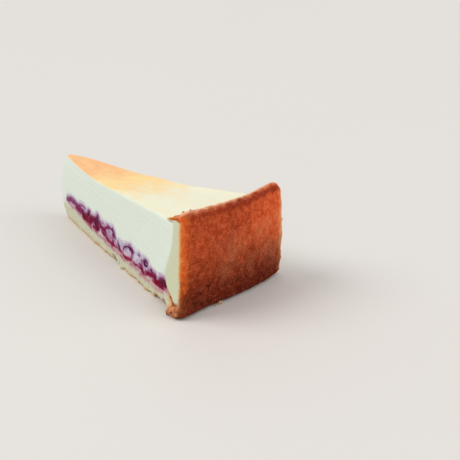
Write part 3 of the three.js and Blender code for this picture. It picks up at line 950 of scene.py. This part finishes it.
class Shader:
    """A material with one Principled shader, and short ways to add the nodes that feed it"""

    def __init__(self, name, **settings):
        self.material = bpy.data.materials.new(name)
        self.material.use_nodes = True
        self.tree = self.material.node_tree
        self.surface = self.tree.nodes["Principled BSDF"]
        for socket, value in settings.items():
            self.surface.inputs[socket.replace("_", " ")].default_value = value
        self.place = self.node("TexCoord").outputs["Object"]

    def feed(self, socket, value):
        """Gives a socket a number, a screen colour, a mask by its name or a node's output"""
        if isinstance(value, str):
            value = self.mask(value)
        if isinstance(value, bpy.types.NodeSocket):
            self.tree.links.new(value, socket)
        elif isinstance(value, tuple):
            socket.default_value = colour(*value)
        else:
            socket.default_value = value

    def node(self, kind, **inputs):
        node = self.tree.nodes.new("ShaderNode" + kind)
        for socket, value in inputs.items():
            self.feed(node.inputs[socket], value)
        return node

    def mask(self, name):
        node = self.node("Attribute")
        node.attribute_name = name
        return node.outputs["Fac"]

    def stretched(self, x, y, z):
        """Object coordinates stretched along each axis"""
        return self.node("Mapping", Vector=self.place, Scale=Vector((x, y, z))).outputs["Vector"]

    def noise(self, size, detail=3.0, roughness=0.55, place=None):
        """Noise about size millimetres across, from 0 to 1"""
        return self.node("TexNoise", Vector=place or self.place, Scale=1 / (size * MM),
                         Detail=detail, Roughness=roughness).outputs["Fac"]

    def cells(self, size):
        """Cells about size millimetres across: the distance from each one's middle"""
        return self.node("TexVoronoi", Vector=self.place, Scale=1 / (size * MM)).outputs["Distance"]

    def ramp(self, value, low, high, to_low=0.0, to_high=1.0):
        """Maps a value from low..high onto to_low..to_high, and holds it there"""
        node = self.node("MapRange")
        node.interpolation_type = "SMOOTHSTEP"
        for socket, given in zip(node.inputs, (value, low, high, to_low, to_high)):
            self.feed(socket, given)
        return node.outputs["Result"]

    def maths(self, operation, a, b):
        node = self.node("Math")
        node.operation = operation
        self.feed(node.inputs[0], a)
        self.feed(node.inputs[1], b)
        return node.outputs["Value"]

    def mix(self, factor, a, b):
        node = self.node("Mix", Factor=factor)
        node.data_type = "RGBA"
        self.feed(node.inputs[6], a)
        self.feed(node.inputs[7], b)
        return node.outputs[2]

    def finish(self, base_colour, roughness, relief, depth, strength):
        """Sets the surface's colour, its roughness and bumps of a depth in millimetres"""
        bump = self.node("Bump", Strength=strength, Distance=depth * MM, Height=relief)
        given = (base_colour, roughness, bump.outputs["Normal"])
        for socket, value in zip(("Base Color", "Roughness", "Normal"), given):
            self.feed(self.surface.inputs[socket], value)
        return self.material


# How juice shows from faint to strong: between which amounts it turns to a colour, and that
# colour where it is purple and where it is red
JUICE_COLOURS = [
    (0.05, 0.36, (190, 174, 200), (200, 158, 152)),
    (0.27, 0.60, (146, 94, 140), (166, 78, 94)),
    (0.51, 0.84, (114, 34, 86), (142, 20, 60)),
    (0.79, 1.10, (68, 4, 42), (104, 2, 38)),
]


def juiced(shader, base):
    """A base colour with the juice over it, where the masks have it"""
    cloud = shader.noise(1.6, 3, 0.5, shader.stretched(0.4, 0.4, 1))
    uneven = shader.ramp(cloud, 0.3, 0.7, -0.07, 0.07)
    amount = shader.maths("ADD", "juice", uneven)
    for low, high, purple, red in JUICE_COLOURS:
        tint = shader.mix("red", purple, red)
        base = shader.mix(shader.ramp(amount, low, high), base, tint)
    return base


def quark_material():
    shader = Shader("quark_cream", Subsurface_Weight=0.10, Subsurface_Scale=0.0006,
                    Subsurface_Radius=(1.0, 0.9, 0.7), IOR=1.1)
    mix, ramp = shader.mix, shader.ramp
    fine = shader.noise(1.1, 4)
    body = mix(shader.noise(9), (221, 231, 220), (226, 235, 222))
    blotches = shader.noise(7.0, 3, 0.5)
    skin_pale = mix(shader.noise(12), (238, 240, 220), (244, 241, 212))
    skin_gold = mix(blotches, (255, 228, 168), (254, 210, 144))
    skin_tan = mix(blotches, (255, 206, 154), (246, 176, 122))
    uneven = ramp(shader.noise(4.0, 3), 0.3, 0.7, -0.07, 0.07)
    toasted = shader.maths("ADD", "browned", uneven)
    skin = mix(ramp(toasted, 0.06, 0.56), skin_pale, skin_gold)
    skin = mix(ramp(toasted, 0.6, 1.1), skin, skin_tan)
    base = juiced(shader, mix("top", body, skin))
    return shader.finish(base, ramp(fine, 0.2, 0.8, 0.38, 0.55), fine, 0.10, 0.5)


def band_material():
    shader = Shader("cranberry_juice", IOR=1.08)
    lumps = shader.noise(1.6, 4)
    cream = shader.mix(lumps, (217, 226, 214), (223, 231, 218))
    return shader.finish(juiced(shader, cream), shader.ramp(lumps, 0.2, 0.8, 0.3, 0.5), lumps, 0.2, 0.6)


def berry_material():
    shader = Shader("cranberry_flesh", IOR=1.08)
    lumps = shader.noise(0.9, 4)
    flesh = shader.mix(lumps, (214, 190, 208), (226, 210, 220))
    return shader.finish(juiced(shader, flesh), shader.ramp(lumps, 0.2, 0.8, 0.2, 0.4), lumps, 0.15, 0.5)


def skin_material():
    shader = Shader("cranberry_skin", IOR=1.1)
    lumps = shader.noise(1.4, 3)
    base = shader.mix(shader.ramp(lumps, 0.3, 0.7), (48, 8, 32), (84, 30, 64))
    return shader.finish(base, 0.3, shader.noise(0.5), 0.1, 0.5)


def base_material():
    shader = Shader("pastry_crumb", IOR=1.1)
    grains = shader.cells(0.8)
    cloud = shader.noise(4.0, 4)
    pale = shader.mix(cloud, (198, 202, 178), (216, 212, 188))
    pale = shader.mix(shader.ramp(grains, 0.4, 0.9, 0.0, 0.6), pale, (190, 184, 152))
    gold = shader.mix(cloud, (196, 148, 86), (222, 184, 126))
    base = shader.mix("browned", pale, gold)
    roughness = shader.ramp(cloud, 0.2, 0.8, 0.75, 0.95)
    return shader.finish(juiced(shader, base), roughness, shader.noise(0.6, 4, 0.65), 0.2, 0.5)


def crust_material():
    shader = Shader("crust_browned", IOR=1.06)
    mix, ramp = shader.mix, shader.ramp
    grains = shader.noise(0.7, 4, 0.65)
    flecks = shader.noise(2.2, 3)
    pits = shader.noise(0.6, 2)
    mottles = ramp(flecks, 0.3, 0.7)
    # light and deep are lit and shaded copies of the crust's brown, with real mottling in each
    light = mix(mottles, (204, 76, 38), (242, 114, 66))
    deep = mix(mottles, (72, 22, 14), (100, 36, 24))
    # shade: the painted shade and painted light of the crust's mask, with real grain added
    shade = shader.maths("ADD", "painted_shade_and_mottling", ramp(grains, 0.3, 0.7, -0.15, 0.15))
    light = mix("tan", light, (232, 132, 88))
    deep = mix("tan", deep, (122, 58, 40))
    brown = mix(ramp(shade, -0.1, 1.1), light, deep)
    red = mix(ramp(grains, 0.3, 0.7), (112, 30, 20), (168, 60, 36))
    brown = mix(ramp("band", 0.1, 1.0, 0.0, 0.8), brown, red)
    patches = ramp(flecks, 0.3, 0.75)
    orange = mix(patches, (230, 90, 26), (252, 136, 64))
    # Painted shade: the orange corner turns dark brown where the painted shade is strong, towards the
    # foot
    orange = mix(ramp(shade, 0.6, 1.0), orange, (132, 50, 12))
    brown = mix("corner", brown, orange)
    # Painted highlight on the crown's top
    rim = mix(patches, (252, 196, 154), (210, 130, 98))
    brown = mix("rim", brown, rim)
    lip = mix(mottles, (168, 74, 34), (228, 136, 68))
    lip = mix("lip_tip", lip, (250, 220, 150))
    brown = mix("lip", brown, lip)
    # Painted highlight along the back edge, partly pale crumb colour
    pale_edge_and_highlight = mix(flecks, (255, 206, 152), (232, 150, 92))
    brown = mix("pale_edge_and_highlight", brown, pale_edge_and_highlight)
    specks = shader.maths("MULTIPLY", ramp(pits, 0.56, 0.68, 0.0, 0.5), ramp(flecks, 0.3, 0.6))
    brown = mix(specks, brown, (104, 34, 18))
    brown = mix(ramp(pits, 0.42, 0.28, 0.0, 0.4), brown, (210, 132, 102))
    toe = mix(ramp(flecks, 0.35, 0.65), (214, 144, 98), (136, 64, 38))
    toe = mix(ramp(grains, 0.5, 0.8, 0.0, 0.6), toe, (112, 44, 26))
    brown = mix("toe", brown, toe)
    gold = mix(grains, (226, 170, 104), (242, 200, 138))
    brown = mix("gold", brown, gold)
    crumb = mix(flecks, (206, 212, 181), (213, 214, 184))
    base = mix("section", brown, crumb)
    return shader.finish(base, ramp(grains, 0.2, 0.8, 0.65, 0.9), grains, 0.3, 0.7)


def crumb_material():
    shader = Shader("loose_crumb", IOR=1.2)
    flecks = shader.noise(1.2, 3)
    base = shader.mix(shader.ramp(flecks, 0.35, 0.65), (240, 200, 162), (168, 90, 54))
    return shader.finish(base, 0.85, flecks, 0.2, 0.6)


def floor_material():
    shader = Shader("pale_floor")
    cloud = shader.noise(300)
    base = shader.mix(cloud, (226, 222, 218), (229, 226, 222))
    return shader.finish(base, 0.6, shader.noise(40), 0.05, 0.1)


# Floor, light and camera

def make_floor():
    size = 8.0
    mesh = bpy.data.meshes.new("floor")
    corners = [(-size, -size, 0), (size, -size, 0), (size, size, 0), (-size, size, 0)]
    mesh.from_pydata(corners, [], [(0, 1, 2, 3)])
    mesh.materials.append(floor_material())
    floor = bpy.data.objects.new("floor", mesh)
    bpy.context.scene.collection.objects.link(floor)


def make_light(name, direction, spread, power, tint):
    """Even light from a direction, as wide as a softbox that fills the angle spread"""
    light = bpy.data.lights.new(name, "SUN")
    light.angle = math.radians(spread)
    light.energy = power
    light.color = tint
    lamp = bpy.data.objects.new(name, light)
    lamp.rotation_euler = Vector(direction).to_track_quat("Z", "Y").to_euler()
    bpy.context.scene.collection.objects.link(lamp)


def make_world(strength, tint):
    world = bpy.data.worlds.new("studio")
    world.use_nodes = True
    background = world.node_tree.nodes["Background"]
    background.inputs["Color"].default_value = (*tint, 1)
    background.inputs["Strength"].default_value = strength
    bpy.context.scene.world = world


def make_camera():
    """The photograph's view: a 60 mm lens, looking down at the crust end from the right"""
    heading, pitch, roll = map(math.radians, (43.268, 22.978, 2.217))
    place = Vector((324.5 + CAKE_CENTRE_X, -212.4, 153.0)) * MM
    data = bpy.data.cameras.new("camera")
    data.lens = 60
    data.sensor_width = 36
    data.clip_start = 0.01
    camera = bpy.data.objects.new("camera", data)
    camera.matrix_world = (Matrix.Translation(place) @ Matrix.Rotation(heading, 4, "Z")
                           @ Matrix.Rotation(math.pi / 2 - pitch, 4, "X")
                           @ Matrix.Rotation(roll, 4, "Z"))
    bpy.context.scene.collection.objects.link(camera)
    bpy.context.scene.camera = camera


make_camera()
make_floor()
make_world(0.58, (1.0, 0.995, 0.985))
make_light("key", (-0.62, -0.65, 0.90), 35, 1.40, (1.0, 0.99, 0.97))
make_light("fill", (0.85, 0.45, 0.70), 60, 0.75, (1.0, 0.98, 0.95))
bpy.context.scene.view_settings.view_transform = "Standard"

make_quark(quark_material())
make_band(band_material())
flesh = berry_material()
skin = skin_material()
for side, berries, streaks in FACES:
    face_name = "front" if side == FRONT else "back"
    torn = [streak for streak in streaks if streak.strength > 0.8 and streak.redness < 0.3]
    make_berries("cranberries_" + face_name, side, berries, streaks, flesh)
    make_skins("cranberry_skins_" + face_name, side, torn, skin)
make_base(base_material())
make_wall(crust_material())
make_crumbs(crumb_material())
